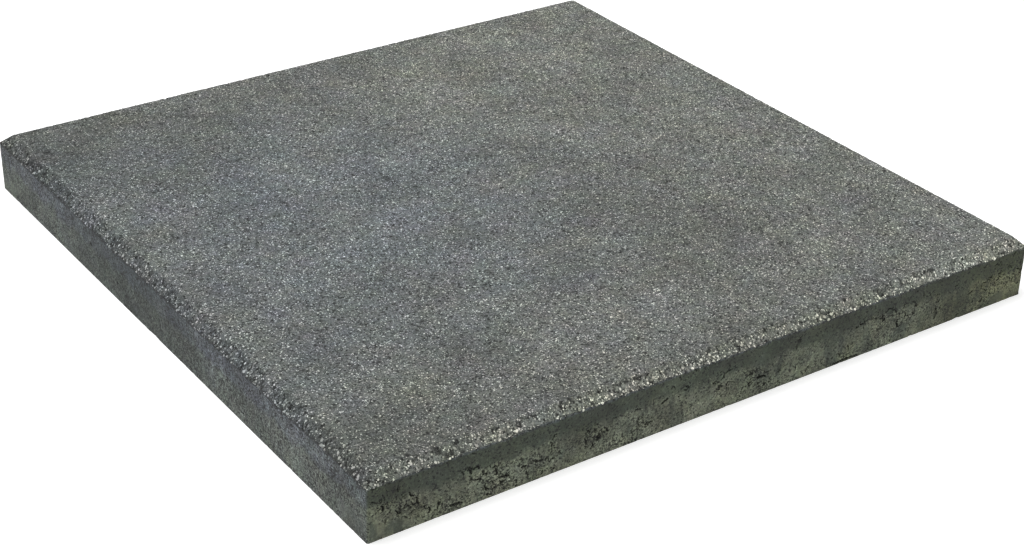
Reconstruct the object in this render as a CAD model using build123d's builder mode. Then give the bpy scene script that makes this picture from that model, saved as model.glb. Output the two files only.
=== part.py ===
from build123d import *
import os

# Concrete ballast slab: a square, vibro-pressed slab with a bevelled walking edge.
#
# The slab is cast in one piece, so it is one solid. It is drawn in millimetres as it lies on
# a roof or in a garden: the origin is the centre of the underside, +Z is up, and the plan's
# edges run along X and Y.
#
# The form is what the mould gives it. The upright walls are plain and square to the bed, with
# small radii where the mould's plates meet. The face mould tapers at its rim, which leaves a
# bevel round the top that turns each corner as a rounded mitre. Blasting the face then wears
# the bevel's two arrises: the upper one softly, the lower one only a little.

# --- driving dimensions -----------------------------------------------------------------
SIDE = 500.0  # plan size, square
THICKNESS = 42.0  # underside to face

BEVEL_RUN = 6.5  # how far the bevel reaches in from the side, measured in plan
BEVEL_DROP = 6.5  # how far it reaches down from the face

WALL_CORNER_RADIUS = 1.5  # upright corners, between two mould plates
FACE_CORNER_RADIUS = 4.0  # the face's own corners, at the head of each mitre

FACE_ARRIS_RADIUS = 2.0  # face to bevel, open to the blast
WALL_ARRIS_RADIUS = 0.8  # bevel to wall, sheltered by the mould's rim

# --- worked out from them ---------------------------------------------------------------
WALL_HEIGHT = THICKNESS - BEVEL_DROP
FACE_SIDE = SIDE - 2 * BEVEL_RUN

os.makedirs("parts", exist_ok=True)

with BuildPart() as ballast_slab:
    # the body between the mould's upright plates
    with BuildSketch(Plane.XY):
        RectangleRounded(SIDE, SIDE, WALL_CORNER_RADIUS)
    extrude(amount=WALL_HEIGHT)

    # the bevelled rim: a low frustum whose four corners are slices of a cone
    with BuildSketch(Plane.XY.offset(WALL_HEIGHT)):
        RectangleRounded(SIDE, SIDE, WALL_CORNER_RADIUS)
    with BuildSketch(Plane.XY.offset(THICKNESS)):
        RectangleRounded(FACE_SIDE, FACE_SIDE, FACE_CORNER_RADIUS)
    loft(ruled=True)

    # the worn arrises, each one closed ring of edges at its own height
    face_arris = ballast_slab.edges().filter_by_position(Axis.Z, THICKNESS, THICKNESS)
    fillet(face_arris, radius=FACE_ARRIS_RADIUS)
    wall_arris = ballast_slab.edges().filter_by_position(Axis.Z, WALL_HEIGHT, WALL_HEIGHT)
    fillet(wall_arris, radius=WALL_ARRIS_RADIUS)

ballast_slab.part.label = "ballast_slab"
export_step(ballast_slab.part, "parts/ballast_slab.step")
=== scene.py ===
"""Looks of the concrete ballast slab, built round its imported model.

The slab is one casting, so its body is one closed mesh: a blasted face with a bevelled rim, four
walls as the mould left them, with the gaps that a dry mix leaves between its coarse grains, and
the bed it lies on. The grit that blasting lays bare in the face and the bevel is set into it as
small broken stones.

Shapes are worked out in millimetres and become metres when a mesh is made, in the part's own
frame: the origin is the centre of the underside and +Z is up.
"""

import logging
import math
from collections.abc import Mapping, Sequence
from dataclasses import dataclass, field
from enum import Enum, IntEnum
from typing import ClassVar

import bpy
import numpy as np
from mathutils import Matrix, Vector
from mathutils.geometry import delaunay_2d_cdt


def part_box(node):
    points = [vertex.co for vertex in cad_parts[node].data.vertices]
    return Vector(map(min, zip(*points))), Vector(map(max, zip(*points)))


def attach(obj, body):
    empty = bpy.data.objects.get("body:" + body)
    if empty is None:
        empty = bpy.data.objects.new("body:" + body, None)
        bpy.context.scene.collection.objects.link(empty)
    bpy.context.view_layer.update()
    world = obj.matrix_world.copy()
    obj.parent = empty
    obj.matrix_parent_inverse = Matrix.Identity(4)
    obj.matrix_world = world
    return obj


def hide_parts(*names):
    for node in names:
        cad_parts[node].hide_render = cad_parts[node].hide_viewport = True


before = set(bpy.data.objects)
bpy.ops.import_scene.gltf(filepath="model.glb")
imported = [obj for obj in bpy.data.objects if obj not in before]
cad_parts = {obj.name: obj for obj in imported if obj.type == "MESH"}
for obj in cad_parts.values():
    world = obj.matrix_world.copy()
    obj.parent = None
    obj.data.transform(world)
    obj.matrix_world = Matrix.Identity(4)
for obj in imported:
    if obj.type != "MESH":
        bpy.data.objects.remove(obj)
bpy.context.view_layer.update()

NODE = "ballast_slab"
BODY = "root"
MM = 0.001
PER_METRE = 1000.0
QUARTER_TURN = math.pi / 2.0
BAKE_MAP = "OFBake"

Array = np.ndarray
Triple = tuple[float, float, float]
Pairs = tuple[tuple[float, float], ...]
Socket = bpy.types.NodeSocket
log = logging.getLogger("slab")


# --- numbers that vary over a surface ------------------------------------------------------

WORD = 0xFFFFFFFF
SEED_PRIME = 2654435761
AXIS_PRIMES = (73856093, 19349663, 83492791)
MIXING = ((15, 2246822519), (13, 3266489917))


def eased(low: float, high: float, values: Array) -> Array:
    """Smooth step from 0 at low to 1 at high."""
    t = np.clip((values - low) / (high - low), 0.0, 1.0)
    return t * t * (3.0 - 2.0 * t)


def hashed(cells: Array, seed: int) -> Array:
    """A random number from -1 to 1 for each cell of a lattice.

    Args:
        cells: rows of two or three whole numbers.
        seed: which numbers they get.

    Returns:
        One number for each row.
    """
    mixed = np.full(len(cells), seed * SEED_PRIME & WORD)
    for column, prime in zip(cells.T, AXIS_PRIMES):
        mixed = mixed ^ (column * prime)
    mixed = mixed & WORD
    for shift, prime in MIXING:
        mixed = (mixed ^ (mixed >> shift)) * prime & WORD
    return (mixed ^ (mixed >> 16)) / (WORD // 2) - 1.0


@dataclass(frozen=True)
class Ripple:
    """Smooth random relief about 0, the same on every run.

    Attributes:
        size: distance between two independent values, in mm.
        seed: which relief of that size.
        height: the furthest it gets from 0.
    """

    size: float
    seed: int
    height: float = 1.0

    def at(self, places: Array) -> Array:
        """Relief at the given places.

        Args:
            places: rows of two or three coordinates, in mm.

        Returns:
            One value for each row.
        """
        scaled = places / self.size
        cell = np.floor(scaled).astype(np.int64)
        part = scaled - cell
        part = part * part * (3.0 - 2.0 * part)
        total = np.zeros(len(places))
        for corner in np.ndindex((2,) * places.shape[1]):
            share = np.prod(np.where(corner, part, 1.0 - part), axis=1)
            total += share * hashed(cell + np.array(corner), self.seed)
        return self.height * total


@dataclass(frozen=True)
class Voids:
    """Gaps that a dry mix leaves against the mould, each a bent row of pits beside a coarse grain.

    Attributes:
        count: how many there are on a wall.
        crowd: how much of the wall they spread over, from 0 to 1.
        longest: how many pits the longest has.
        widest: radius of the widest pit, in mm.
        seed: which gaps.
        lean: how much they thin out along the wall, from 0 to 1.
        hollows: long hollows as well: distance along the wall, height and length, in mm.
        STEP: from one pit of a row to the next, in mm.
        TRIES: how many starts are tried for each gap.
        UPRIGHT: share of the gaps that run up the wall and not along it.
        REACH: how far outside a gap its distance is still measured, in mm.
        TIGHT_END: distance from a wall's end where the mix starts to be tight, and where it is
            fully so, in mm.
        TIGHT_FOOT: the same for the height over the bed.
    """

    count: int
    crowd: float
    longest: int
    widest: float
    seed: int
    lean: float = 0.0
    hollows: tuple[Triple, ...] = ()
    STEP: ClassVar[float] = 0.5
    TRIES: ClassVar[int] = 30
    UPRIGHT: ClassVar[float] = 0.25
    REACH: ClassVar[float] = 1.2
    TIGHT_END: ClassVar[tuple[float, float]] = (34.0, 20.0)
    TIGHT_FOOT: ClassVar[tuple[float, float]] = (15.0, 10.0)

    def loose(self, places: Array) -> Array:
        """How loosely the grains lie, from 0 to 1."""
        groups = Ripple(15.0, self.seed + 1).at(places) + Ripple(5.0, self.seed + 2, 0.4).at(places)
        return eased(0.5 - self.crowd, 1.1 - self.crowd, groups)

    def tight(self, places: Array, corner: Array) -> Array:
        """How tightly the mix is packed into the wall's lower ends, from 0 to 1.

        Args:
            places: rows of distance along the wall and height, in mm.
            corner: the wall's length and height, in mm.

        Returns:
            One value for each row.
        """
        end = np.minimum(places[:, 0], corner[0] - places[:, 0])
        return eased(*self.TIGHT_END, end) * eased(*self.TIGHT_FOOT, places[:, 1])

    def chance(self, places: Array, corner: Array) -> Array:
        """How likely a gap is to start at each place.

        Args:
            places: rows of distance along the wall and height, in mm.
            corner: the wall's length and height, in mm.

        Returns:
            One value for each row, which may pass 1.
        """
        along, up = (places / corner).T
        end = np.minimum(along, 1.0 - along) * corner[0]
        # A few anywhere, more where the grains lie loose and along the upright corners.
        chance = 0.04 + self.loose(places)
        chance = chance + 1.5 * self.crowd * eased(4.0, 1.0, end) * eased(0.3, 0.5, up)
        # Fewer in the facing, along the bed and where the mix is tight.
        chance = chance * (0.3 + 0.7 * eased(0.85, 0.6, up)) * (0.25 + 0.75 * eased(0.03, 0.2, up))
        return chance * (1.0 - self.lean * along) * (1.0 - 0.9 * self.tight(places, corner))

    def gap(self, rng: np.random.Generator, start: Array) -> tuple[Array, Array]:
        """One gap, of any length up to the longest.

        Args:
            rng: source of randomness.
            start: where it starts.

        Returns:
            Rows of its pits' places, and their radii.
        """
        share = rng.uniform() ** 2.2
        number = 1 + round(share * self.longest)
        turn = rng.normal(0.0, 0.7) + (QUARTER_TURN if rng.uniform() < self.UPRIGHT else 0.0)
        angles = turn + np.cumsum(rng.normal(0.0, 0.45, number))
        path = np.cumsum(np.column_stack([np.cos(angles), np.sin(angles)]), axis=0)
        places = start + self.STEP * path + rng.normal(0.0, 0.2, path.shape)
        taper = np.sin(math.pi * (np.arange(number) + 0.7) / (number + 0.4))
        wide = self.widest * (0.5 + 0.5 * share) * rng.uniform(0.8, 1.0)
        return places, wide * (0.6 + 0.4 * taper) * rng.uniform(0.45, 1.05, number)

    def hollow(self, rng: np.random.Generator, start: Triple) -> tuple[Array, Array]:
        """One long hollow, which wanders about the level.

        Args:
            rng: source of randomness.
            start: distance along the wall and height of its start, and its length.

        Returns:
            Rows of its pits' places, and their radii.
        """
        number = round(start[2] / self.STEP)
        wander = np.cumsum(rng.normal(0.0, 0.9, number)) / math.sqrt(number)
        off = np.column_stack([np.arange(number) * self.STEP, wander - wander.mean()])
        return np.array(start[:2]) + off, self.widest * rng.uniform(0.5, 1.2, number)

    def pits(self, corner: Array) -> tuple[Array, Array]:
        """The pits on a wall.

        Args:
            corner: the wall's length and height, in mm.

        Returns:
            Rows of each pit's distance along the wall and height, and the pits' radii.
        """
        rng = np.random.default_rng(self.seed)
        starts = rng.uniform((0.0, 0.0), corner, (self.TRIES * self.count, 2))
        taken = rng.uniform(0.0, 1.0, len(starts)) < self.chance(starts, corner)
        rows = [self.gap(rng, start) for start in starts[taken][: self.count]]
        rows += [self.hollow(rng, start) for start in self.hollows]
        places, radii = zip(*rows)
        return np.vstack(places), np.concatenate(radii)

    def opening(self, places: Array, corner: Array) -> Array:
        """How far inside a gap each place is.

        Args:
            places: rows of distance along the wall and height, in mm.
            corner: the wall's length and height, in mm.

        Returns:
            The distance from the gap's rim, in mm: above 0 inside the gap, below 0 outside it.
        """
        best = np.full(len(places), -self.REACH)
        order = np.argsort(places[:, 0])
        along = places[order, 0]
        for middle, radius in zip(*self.pits(corner)):
            reach = radius + self.REACH
            ends = np.searchsorted(along, [middle[0] - reach, middle[0] + reach])
            near = order[ends[0] : ends[1]]
            off = np.linalg.norm(places[near] - middle, axis=1)
            best[near] = np.maximum(best[near], radius - off)
        return best


# --- the slab's form -----------------------------------------------------------------------


@dataclass(frozen=True)
class Outline:
    """A square with rounded corners, seen from above, walked anticlockwise from the front left.

    Attributes:
        half: half its width, in mm.
        corner: radius of its corners, in mm.
        ARC_STEPS: how many parts each corner is cut into.
    """

    half: float
    corner: float
    ARC_STEPS: ClassVar[int] = 4

    @property
    def straight(self) -> float:
        """Length of one straight run."""
        return 2.0 * (self.half - self.corner)

    @property
    def quarter(self) -> float:
        """Length of one straight run and the corner after it."""
        return self.straight + QUARTER_TURN * self.corner

    @property
    def length(self) -> float:
        """Length of the whole outline."""
        return 4.0 * self.quarter

    def walk(self, along: Array) -> tuple[Array, Array]:
        """Places on the outline.

        Args:
            along: distances along it from the start of the front run, in mm.

        Returns:
            Rows of x and y, and rows of the outward normal.
        """
        along = np.mod(along, self.length)
        # A place at the very end of a corner belongs to the run after it.
        side = np.minimum(np.floor(along / self.quarter + 1e-9), 3)
        rest = along - side * self.quarter
        turn = np.clip(rest - self.straight, 0.0, None) / self.corner
        centre = self.half - self.corner
        out = np.column_stack([np.sin(turn), -np.cos(turn)])
        place = np.column_stack([np.minimum(rest, self.straight) - centre, -centre + 0.0 * rest])
        place = place + self.corner * out
        cos, sin = np.cos(side * QUARTER_TURN), np.sin(side * QUARTER_TURN)
        return tuple(
            np.column_stack([cos * v[:, 0] - sin * v[:, 1], sin * v[:, 0] + cos * v[:, 1]])
            for v in (place, out)
        )

    def stations(self, step: float) -> Array:
        """Distances along the outline, with the ends of every corner among them.

        Args:
            step: about how far apart they are on the straight runs, in mm.

        Returns:
            The distances from the start of the front run, in mm.
        """
        run = np.linspace(0.0, self.straight, max(2, round(self.straight / step)) + 1)
        arc = np.linspace(self.straight, self.quarter, self.ARC_STEPS + 1)
        one = np.concatenate([run[:-1], arc[:-1]])
        return np.concatenate([one + k * self.quarter for k in range(4)])


@dataclass(frozen=True)
class SlabForm:
    """Nominal form of the slab, and the surface that casting and blasting leave on it, in mm.

    Attributes:
        side: plan size.
        height: underside to face.
        bevel: how far the bevel reaches in and down.
        wall_corner: radius of the upright corners.
        face_corner: radius of the face's corners.
        arris: how softly face and bevel meet.
        blast: how far blasting takes the paste back from the grit.
        bite: how far the bevel's foot is bitten back at most.
        crumb: size of the smaller chips along the lower edge.
        chip: size of the larger chips along the lower edge.
        pock: depth of the smaller hollows that blasting leaves.
        crater: depth of the larger hollows that blasting leaves.
    """

    side: float
    height: float
    bevel: float = 6.5
    wall_corner: float = 1.5
    face_corner: float = 3.0
    arris: float = 0.22
    blast: float = 0.34
    bite: float = 0.6
    crumb: float = 0.12
    chip: float = 0.2
    pock: float = 0.8
    crater: float = 1.0
    # The relief: the size, the seed and the height of each ripple.
    FOOT_RISES: ClassVar[tuple[Ripple, ...]] = (Ripple(7.0, 11, 0.35), Ripple(2.3, 12, 0.45))
    FOOT_BITES: ClassVar[Ripple] = Ripple(2.4, 13)
    CHIPS: ClassVar[Ripple] = Ripple(6.0, 14)
    CRUMBS: ClassVar[Ripple] = Ripple(2.2, 15)
    RIM_LUMPS: ClassVar[Ripple] = Ripple(2.6, 21, 0.14)
    FACE_WAVES: ClassVar[tuple[Ripple, ...]] = (Ripple(9.0, 22, 0.05), Ripple(31.0, 23, 0.05))
    POCKS: ClassVar[Ripple] = Ripple(1.8, 24)
    CRATERS: ClassVar[Ripple] = Ripple(3.8, 25)

    @property
    def half(self) -> float:
        """Half the plan size."""
        return self.side / 2.0

    @property
    def wall_top(self) -> float:
        """Height of the bevel's foot."""
        return self.height - self.bevel

    def outline(self, inset: float = 0.0) -> Outline:
        """The slab's outline, or one that lies inset from it on the bevel or the face.

        Args:
            inset: how far inside the slab's own outline it lies, in mm.

        Returns:
            The outline.
        """
        share = min(inset / self.bevel, 1.0)
        corner = self.wall_corner + (self.face_corner - self.wall_corner) * share
        return Outline(self.half - inset, corner)

    def inset(self, plan: Array) -> Array:
        """How far each place lies inside the outline.

        The corners' radius depends on the inset, so it is found in rounds.

        Args:
            plan: rows of x and y.

        Returns:
            One distance for each row.
        """
        a, b = np.abs(plan[:, 0]), np.abs(plan[:, 1])
        size = np.maximum(a, b)
        for _ in range(3):
            share = np.clip((self.half - size) / self.bevel, 0.0, 1.0)
            radius = self.wall_corner + (self.face_corner - self.wall_corner) * share
            under = np.clip(2.0 * radius**2 - (a - b) ** 2, 0.0, None)
            round_size = (a + b - np.sqrt(under)) / 2.0 + radius
            size = np.where(np.abs(a - b) < radius, round_size, np.maximum(a, b))
        return self.half - size

    def held_in(self, points: Array, below: Array) -> Array:
        """Points moved to lie within the nominal form.

        Args:
            points: rows of x, y and z.
            below: how far under the face or the bevel each has to stay.

        Returns:
            Rows of x, y and z.
        """
        held = np.clip(points, -self.half, self.half)
        top = np.minimum(self.height, self.wall_top + self.inset(held)) - below
        held[:, 2] = np.minimum(held[:, 2], top)
        return held

    def on_bevel(self, inset: Array) -> Array:
        """How far a place with the given inset belongs to the bevel, from 0 to 1."""
        return eased(self.bevel + 2.5, self.bevel - 1.5, inset)

    def foot_rise(self, plan: Array) -> Array:
        """How far the bevel's foot wanders up or down the wall."""
        return sum(ripple.at(plan) for ripple in self.FOOT_RISES)

    def foot_bite(self, plan: Array) -> Array:
        """How far the bevel's foot is bitten back from the wall."""
        return 0.03 + self.bite * eased(0.4, 0.8, self.FOOT_BITES.at(plan))

    def bed_chip(self, plan: Array) -> Array:
        """Size of the chips along the lower edge."""
        crumbs = self.crumb * eased(0.3, 0.9, self.CRUMBS.at(plan))
        return crumbs + self.chip * eased(0.6, 0.9, self.CHIPS.at(plan))

    def plucked(self, plan: Array) -> Array:
        """How deep the hollows are from which blasting has taken grit.

        Args:
            plan: rows of x and y.

        Returns:
            One depth for each row, which is 0 over most of the face.
        """
        pocks = self.POCKS.at(plan) + 0.4 * self.on_bevel(self.inset(plan))
        craters = self.crater * eased(0.965, 1.0, self.CRATERS.at(plan))
        return self.pock * eased(0.9, 1.03, pocks) + craters

    def face_level(self, plan: Array) -> Array:
        """Height of the blasted paste over the face and the bevel.

        Args:
            plan: rows of x and y.

        Returns:
            One height for each row.
        """
        inset = self.inset(plan)
        slope, soft = self.wall_top + inset, self.arris
        level = -soft * np.logaddexp(-slope / soft, -self.height / soft)
        rough = self.RIM_LUMPS.at(plan) * self.on_bevel(inset)
        for wave in self.FACE_WAVES:
            rough = rough + wave.at(plan)
        taken = (self.blast + rough + self.plucked(plan)) * eased(0.0, 1.2, inset)
        return level - taken + self.foot_rise(plan) * eased(2.0, 0.0, inset)


# --- meshes --------------------------------------------------------------------------------

# How close two points must be to be one, in mm: on a border, in a stone, in a triangulation.
WELD, EXACT, NEAR = 1e-4, 1e-6, 1e-7
# Twice the area of the largest triangle that counts as a sliver.
SLIVER = 1e-6


@dataclass
class Patch:
    """Part of a surface: where its points are, how they join and what they carry.

    Attributes:
        points: rows of x, y and z, in mm.
        faces: rows of three indices.
        sheet: rows of each point's place on the bake map.
        marks: numbers that a finish may read at each point, by name.
        slot: which of the mesh's materials it wears.
    """

    points: Array
    faces: Array
    sheet: Array
    marks: dict[str, Array] = field(default_factory=dict)
    slot: int = 0


def triangles(flat: Array) -> Array:
    """Delaunay triangles over points in a plane.

    Args:
        flat: rows of two coordinates.

    Returns:
        Rows of three indices, anticlockwise, without the slivers.
    """
    made = delaunay_2d_cdt([Vector(p) for p in flat.tolist()], [], [], 0, NEAR)
    origin = np.array([first[0] for first in made[3]])
    rows = origin[np.array(made[2])]
    a, b, c = flat[rows[:, 0]], flat[rows[:, 1]], flat[rows[:, 2]]
    area = (b - a)[:, 0] * (c - a)[:, 1] - (b - a)[:, 1] * (c - a)[:, 0]
    rows[area < 0] = rows[area < 0][:, ::-1]
    return rows[np.abs(area) > SLIVER]


def welded(patches: Sequence[Patch], name: str, weld: float = WELD) -> bpy.types.Object:
    """One mesh object from patches that share their borders.

    Args:
        patches: the patches, whose border points agree.
        name: the object's name.
        weld: how close two points must be to become one, in mm.

    Returns:
        The object, linked to the scene.
    """
    points = np.concatenate([p.points for p in patches])
    starts = np.cumsum([0] + [len(p.points) for p in patches[:-1]])
    faces = np.concatenate([p.faces + s for p, s in zip(patches, starts)])
    slots = np.concatenate([np.full(len(p.faces), p.slot) for p in patches])
    sheet = np.concatenate([p.sheet for p in patches])[faces]
    keys = np.round(points / weld).astype(np.int64)
    _, first, place = np.unique(keys, axis=0, return_index=True, return_inverse=True)
    joined = place.ravel()[faces]
    whole = (np.diff(np.sort(joined, axis=1), axis=1) > 0).all(axis=1)
    mesh = bpy.data.meshes.new(name)
    mesh.from_pydata((points[first] * MM).tolist(), [], joined[whole].tolist())
    mesh.polygons.foreach_set("material_index", slots[whole].astype(np.int32))
    layer = mesh.uv_layers.new(name=BAKE_MAP)
    layer.uv.foreach_set("vector", sheet[whole].astype(np.float32).ravel())
    for label in sorted({label for p in patches for label in p.marks}):
        blank = [p.marks.get(label, np.zeros(len(p.points))) for p in patches]
        attribute = mesh.attributes.new(label, "FLOAT", "POINT")
        attribute.data.foreach_set("value", np.concatenate(blank)[first].astype(np.float32))
    item = bpy.data.objects.new(name, mesh)
    bpy.context.scene.collection.objects.link(item)
    return item


def scattered(
    rng: np.random.Generator, low: Array, high: Array, step: float, jitter: float = 0.3
) -> Array:
    """Places in a rectangle, evenly spread but out of line.

    Args:
        rng: source of randomness.
        low: one corner of the rectangle.
        high: the corner opposite.
        step: mean distance between neighbours.
        jitter: how far a place may move, as a share of the step.

    Returns:
        Rows of two coordinates.
    """
    lines = []
    for a, b in zip(low, high):
        count = max(1, round((b - a) / step))
        lines.append(a + (np.arange(count) + 0.5) * (b - a) / count)
    grid = np.stack(np.meshgrid(*lines), axis=-1).reshape(-1, 2)
    return grid + rng.uniform(-jitter, jitter, grid.shape) * step


# --- shader graphs -------------------------------------------------------------------------


class Value:
    """A number in a shader graph. Arithmetic on it adds Math nodes."""

    def __init__(self, graph: "Graph", socket: Socket) -> None:
        """Wraps one output socket of a graph."""
        self.graph = graph
        self.socket = socket

    def __add__(self, other: "Value | float") -> "Value":
        """self + other."""
        return self.graph.math("ADD", self, other)

    def __mul__(self, other: "Value | float") -> "Value":
        """self * other."""
        return self.graph.math("MULTIPLY", self, other)

    def __sub__(self, other: "Value | float") -> "Value":
        """self - other."""
        return self.graph.math("SUBTRACT", self, other)

    def __rsub__(self, other: float) -> "Value":
        """other - self."""
        return self.graph.math("SUBTRACT", other, self)

    __radd__ = __add__
    __rmul__ = __mul__

    def eased(self, low: float, high: float) -> "Value":
        """Smooth step from 0 at low to 1 at high."""
        return self.graph.value(
            "ShaderNodeMapRange",
            {"interpolation_type": "SMOOTHSTEP"},
            {"Value": self, "From Min": low, "From Max": high},
        )


Input = Value | Socket | float | Sequence[float]
Tint = Socket | Triple


class Blend(Enum):
    """How a Mix node puts its second colour on its first."""

    OVER = "MIX"
    TIMES = "MULTIPLY"


class Graph:
    """The node tree of a material or a world, with short ways to add what the finishes need."""

    # Sockets of a Mix node that mixes colours.
    MIX_FACTOR, MIX_A, MIX_B, MIX_RESULT = 0, 6, 7, 2

    def __init__(self, owner: bpy.types.Material | bpy.types.World) -> None:
        """Empties the owner's tree.

        Args:
            owner: the material or world.
        """
        self.owner = owner
        owner.use_nodes = True
        self.tree = owner.node_tree
        self.tree.nodes.clear()

    def node(
        self,
        kind: str,
        settings: Mapping[str, object] | None = None,
        sockets: Mapping[str | int, Input] | None = None,
    ) -> bpy.types.Node:
        """Adds a node.

        Args:
            kind: its type.
            settings: its properties, set first.
            sockets: values or links for its inputs, by name or index.

        Returns:
            The node.
        """
        node = self.tree.nodes.new(kind)
        for key, setting in (settings or {}).items():
            setattr(node, key, setting)
        for key, source in (sockets or {}).items():
            socket = node.inputs[key]
            if isinstance(source, Value):
                source = source.socket
            if isinstance(source, bpy.types.NodeSocket):
                self.tree.links.new(source, socket)
            elif socket.type == "RGBA":
                socket.default_value = (*source, 1.0)
            else:
                socket.default_value = source
        return node

    def value(self, *made: object, output: str | int = 0) -> Value:
        """Adds a node, as node() does, and wraps one of its outputs."""
        return Value(self, self.node(*made).outputs[output])

    def math(self, operation: str, *terms: Value | float) -> Value:
        """Adds a Math node over the given terms."""
        return self.value("ShaderNodeMath", {"operation": operation}, dict(enumerate(terms)))

    def place(self, stretch: Triple = (1.0, 1.0, 1.0), shift: float = 0.0) -> Socket:
        """Place on the object.

        Args:
            stretch: factor on each axis, under 1 to draw a pattern out along it.
            shift: how far to move along every axis, which gives another pattern.

        Returns:
            A vector socket, in metres before it is stretched.
        """
        coordinates = self.node("ShaderNodeTexCoord").outputs["Object"]
        settings = {"operation": "MULTIPLY_ADD"}
        sockets = {0: coordinates, 1: stretch, 2: (shift,) * 3}
        return self.node("ShaderNodeVectorMath", settings, sockets).outputs["Vector"]

    def along(self, axis: str) -> Value:
        """Place along one of the object's axes, in mm."""
        axes = self.node("ShaderNodeSeparateXYZ", None, {0: self.place((PER_METRE,) * 3)})
        return Value(self, axes.outputs[axis])

    def cloud(
        self,
        size: float,
        shift: float,
        detail: float = 2.0,
        rough: float = 0.55,
        stretch: Triple = (1.0, 1.0, 1.0),
    ) -> bpy.types.Node:
        """Adds a noise node.

        Args:
            size: how wide its patches are, in mm.
            shift: which pattern of that size.
            detail: how many finer layers it has.
            rough: how strong those are.
            stretch: factor on each axis, under 1 to draw the patches out along it.

        Returns:
            The node.
        """
        place = self.place(stretch, shift)
        sockets = {"Vector": place, "Scale": PER_METRE / size, "Detail": detail, "Roughness": rough}
        return self.node("ShaderNodeTexNoise", None, sockets)

    def noise(self, **terms: float | Triple) -> Value:
        """Soft noise about 0.5, with the terms of cloud()."""
        return Value(self, self.cloud(**terms).outputs["Fac"])

    def cells(self, size: float, shift: float = 0.0) -> tuple[Value, Value]:
        """Packed grains.

        Args:
            size: how far apart they are, in mm.
            shift: which pattern of that size.

        Returns:
            How high each place stands on its grain, and a number from 0 to 1 for each grain.
        """
        sockets = {"Vector": self.place(shift=shift), "Scale": PER_METRE / size}
        node = self.node("ShaderNodeTexVoronoi", None, sockets)
        each = self.value("ShaderNodeSeparateColor", None, {0: node.outputs["Color"]})
        return 1.0 - Value(self, node.outputs["Distance"]), each

    def carried(self, label: str) -> Value:
        """A number that the mesh carries at its points."""
        return self.value("ShaderNodeAttribute", {"attribute_name": label}, output="Fac")

    def mix(self, factor: Value | float, a: Tint, b: Tint, blend: Blend = Blend.OVER) -> Socket:
        """Adds a Mix node over two colours.

        Args:
            factor: how far the second colour is put on the first, from 0 to 1.
            a: the first colour.
            b: the second colour.
            blend: how it is put on.

        Returns:
            The mixed colour.
        """
        settings = {"data_type": "RGBA", "blend_type": blend.value}
        sockets = {self.MIX_FACTOR: factor, self.MIX_A: a, self.MIX_B: b}
        return self.node("ShaderNodeMix", settings, sockets).outputs[self.MIX_RESULT]

    def tinted(self, colour: Tint, tint: Tint, by: Value | float = 1.0) -> Socket:
        """A colour times another, as far as by says."""
        return self.mix(by, colour, tint, Blend.TIMES)

    def scaled(self, colour: Tint, by: Value) -> Socket:
        """A colour made lighter or darker."""
        sockets = {0: colour, "Scale": by}
        return self.node("ShaderNodeVectorMath", {"operation": "SCALE"}, sockets).outputs[0]

    def clouded(self, colour: Tint, size: float, strength: float, shift: float) -> Socket:
        """A colour that drifts a little in hue and level.

        Args:
            colour: the colour.
            size: how wide the widest clouds are, in mm.
            strength: how far it drifts.
            shift: which clouds.

        Returns:
            The drifting colour.
        """
        noise = self.cloud(size, shift, detail=4.0, rough=0.85)
        parts = self.node("ShaderNodeSeparateXYZ", None, {0: noise.outputs["Color"]}).outputs
        red, green, blue = (Value(self, part) for part in parts)
        # Green follows the other two, so that the drift never turns pink or mint.
        green = red * 0.74 + blue * 0.26 + green * 0.9 - 0.45
        mixed = self.node("ShaderNodeCombineXYZ", None, {0: red, 1: green, 2: blue}).outputs[0]
        ends = {0: mixed, 1: (strength,) * 3, 2: (1.0 - strength / 2.0,) * 3}
        drift = self.node("ShaderNodeVectorMath", {"operation": "MULTIPLY_ADD"}, ends)
        return self.tinted(colour, drift.outputs["Vector"])

    def finish(self, colour: Tint, roughness: Value | float, height: Value) -> bpy.types.Material:
        """Ends the graph in a plain surface.

        Args:
            colour: its colour.
            roughness: its roughness.
            height: its relief, in mm.

        Returns:
            The material.
        """
        relief = {"Strength": 1.0, "Distance": MM, "Height": height}
        bump = self.node("ShaderNodeBump", None, relief).outputs["Normal"]
        surface = {"Base Color": colour, "Roughness": roughness, "Normal": bump}
        shader = self.node("ShaderNodeBsdfPrincipled", None, surface).outputs["BSDF"]
        self.node("ShaderNodeOutputMaterial", None, {"Surface": shader})
        return self.owner


# --- finishes ------------------------------------------------------------------------------


@dataclass(frozen=True)
class Stain:
    """A broad patch where the concrete's colour differs.

    Attributes:
        place: its middle, in metres.
        reach: how far it reaches, in metres.
        tint: what the colour is multiplied by in its middle.
        FULL: share of its reach over which it has its full strength.
        WANDER: how far its rim moves for a wander of 1, in metres.
    """

    place: Triple
    reach: float
    tint: Triple
    FULL: ClassVar[float] = 0.15
    WANDER: ClassVar[float] = 0.12

    def over(self, graph: Graph, colour: Socket, wander: Value) -> Socket:
        """The colour with this stain on it.

        Args:
            graph: the finish's graph.
            colour: the colour without it.
            wander: how its rim wanders, about 0.

        Returns:
            The stained colour.
        """
        ends = {0: graph.place(), 1: self.place}
        off = graph.value("ShaderNodeVectorMath", {"operation": "DISTANCE"}, ends, output="Value")
        near = 1.0 - (off + wander * self.WANDER).eased(self.reach * self.FULL, self.reach)
        return graph.tinted(colour, self.tint, near)


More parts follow.
